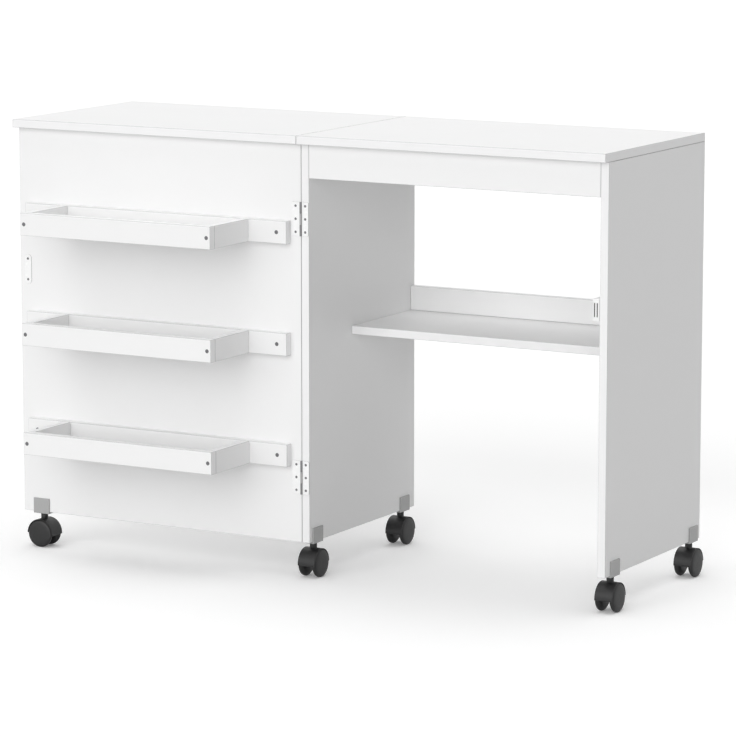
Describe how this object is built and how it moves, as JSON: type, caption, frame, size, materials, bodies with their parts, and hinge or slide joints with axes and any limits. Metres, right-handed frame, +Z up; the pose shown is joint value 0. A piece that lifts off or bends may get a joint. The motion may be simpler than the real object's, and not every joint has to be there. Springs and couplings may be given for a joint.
{
  "type": "folding sewing cutting table",
  "caption": "White rolling sewing and cutting table with a fold-over leaf held by a swing-out tray door, an open shelf bay and twin-wheel casters.",
  "frame": {"origin": "on the floor under the middle of the table's outline with the leaf and the door open", "axes": "+X along the table from the leaf to the cabinet, +Y from the tray side to the back, +Z up"},
  "size_m": [1.2044, 0.526, 0.7887],
  "materials": {
    "white_board": "satin white melamine on board",
    "beech": "bare beech",
    "zinc": "zinc plated",
    "white_hinge": "white enamel",
    "steel": "bright steel",
    "screw_steel": "zinc plated",
    "bracket_metal": "satin plated",
    "catch_plastic": "white moulded",
    "pole_steel": "dark steel",
    "caster_plastic": "black moulded"
  },
  "bodies": {
    "cabinet": {"fixed_top": "white_board", "left_side_panel": "white_board", "right_side_panel": "white_board", "front_apron": "white_board", "rear_apron": "white_board", "shelf": "white_board", "shelf_back_rail": "white_board", "carcass_dowels": "beech", "cam_bolts": "zinc", "cam_locks": "zinc", "door_hinge_panel_plates": "white_hinge", "door_hinge_panel_screws": "screw_steel", "door_hinge_pins": "steel", "leaf_hinge_top_plate": "white_hinge", "leaf_hinge_top_screws": "screw_steel", "leaf_hinge_pin": "steel", "catch_housing": "catch_plastic", "catch_poles": "pole_steel", "catch_screws": "screw_steel", "side_caster_brackets": "bracket_metal", "side_bracket_screws": "screw_steel", "side_caster_stems": "steel"},
    "leaf": {"folding_leaf": "white_board", "leaf_hinge_leaf_plate": "white_hinge", "leaf_hinge_leaf_screws": "screw_steel"},
    "door": {"door_panel": "white_board", "strike_plate": "white_hinge", "strike_plate_screws": "screw_steel", "door_hinge_door_plates": "white_hinge", "door_hinge_door_screws": "screw_steel", "upper_tray_front_board": "white_board", "upper_tray_back_board": "white_board", "middle_tray_front_board": "white_board", "middle_tray_back_board": "white_board", "lower_tray_front_board": "white_board", "lower_tray_back_board": "white_board", "tray_sides": "white_board", "tray_floors": "white_board", "tray_frame_screws": "screw_steel", "tray_mount_screws": "screw_steel", "door_caster_bracket": "bracket_metal", "door_bracket_screws": "screw_steel", "door_caster_stem": "steel"},
    "right_front_caster_fork": {"right_front_caster_hood": "caster_plastic"},
    "right_front_caster_rollers": {"right_front_caster_axle": "steel", "right_front_caster_wheels": "caster_plastic"},
    "right_rear_caster_fork": {"right_rear_caster_hood": "caster_plastic"},
    "right_rear_caster_rollers": {"right_rear_caster_axle": "steel", "right_rear_caster_wheels": "caster_plastic"},
    "left_front_caster_fork": {"left_front_caster_hood": "caster_plastic"},
    "left_front_caster_rollers": {"left_front_caster_axle": "steel", "left_front_caster_wheels": "caster_plastic"},
    "left_rear_caster_fork": {"left_rear_caster_hood": "caster_plastic"},
    "left_rear_caster_rollers": {"left_rear_caster_axle": "steel", "left_rear_caster_wheels": "caster_plastic"},
    "door_caster_fork": {"door_caster_hood": "caster_plastic"},
    "door_caster_rollers": {"door_caster_axle": "steel", "door_caster_wheels": "caster_plastic"}
  },
  "joints": [
    {"name": "door_swing", "type": "hinge", "parent": "cabinet", "child": "door", "pos_m": [-0.00375, -0.122, 0.418], "axis": [0, 0, 1], "range_deg": [0, 180]},
    {"name": "leaf_fold", "type": "hinge", "parent": "cabinet", "child": "leaf", "pos_m": [-0.00575, 0.0645, 0.7881], "axis": [0, 1, 0], "range_deg": [0, 180]},
    {"name": "right_front_caster_swivel", "type": "hinge", "parent": "cabinet", "child": "right_front_caster_fork", "pos_m": [0.58315, -0.084, 0.05], "axis": [0, 0, 1], "continuous": true},
    {"name": "right_front_caster_roll", "type": "hinge", "parent": "right_front_caster_fork", "child": "right_front_caster_rollers", "pos_m": [0.58315, -0.084, 0.025], "axis": [1, 0, 0], "continuous": true},
    {"name": "right_rear_caster_swivel", "type": "hinge", "parent": "cabinet", "child": "right_rear_caster_fork", "pos_m": [0.58315, 0.234, 0.05], "axis": [0, 0, 1], "continuous": true},
    {"name": "right_rear_caster_roll", "type": "hinge", "parent": "right_rear_caster_fork", "child": "right_rear_caster_rollers", "pos_m": [0.58315, 0.234, 0.025], "axis": [1, 0, 0], "continuous": true},
    {"name": "left_front_caster_swivel", "type": "hinge", "parent": "cabinet", "child": "left_front_caster_fork", "pos_m": [0.00415, -0.094, 0.05], "axis": [0, 0, 1], "continuous": true},
    {"name": "left_front_caster_roll", "type": "hinge", "parent": "left_front_caster_fork", "child": "left_front_caster_rollers", "pos_m": [0.00415, -0.094, 0.025], "axis": [1, 0, 0], "continuous": true},
    {"name": "left_rear_caster_swivel", "type": "hinge", "parent": "cabinet", "child": "left_rear_caster_fork", "pos_m": [0.00415, 0.224, 0.05], "axis": [0, 0, 1], "continuous": true},
    {"name": "left_rear_caster_roll", "type": "hinge", "parent": "left_rear_caster_fork", "child": "left_rear_caster_rollers", "pos_m": [0.00415, 0.224, 0.025], "axis": [1, 0, 0], "continuous": true},
    {"name": "door_caster_swivel", "type": "hinge", "parent": "door", "child": "door_caster_fork", "pos_m": [-0.55815, -0.1125, 0.05], "axis": [0, 0, 1], "continuous": true},
    {"name": "door_caster_roll", "type": "hinge", "parent": "door_caster_fork", "child": "door_caster_rollers", "pos_m": [-0.55815, -0.1125, 0.025], "axis": [0, 1, 0], "continuous": true}
  ]
}
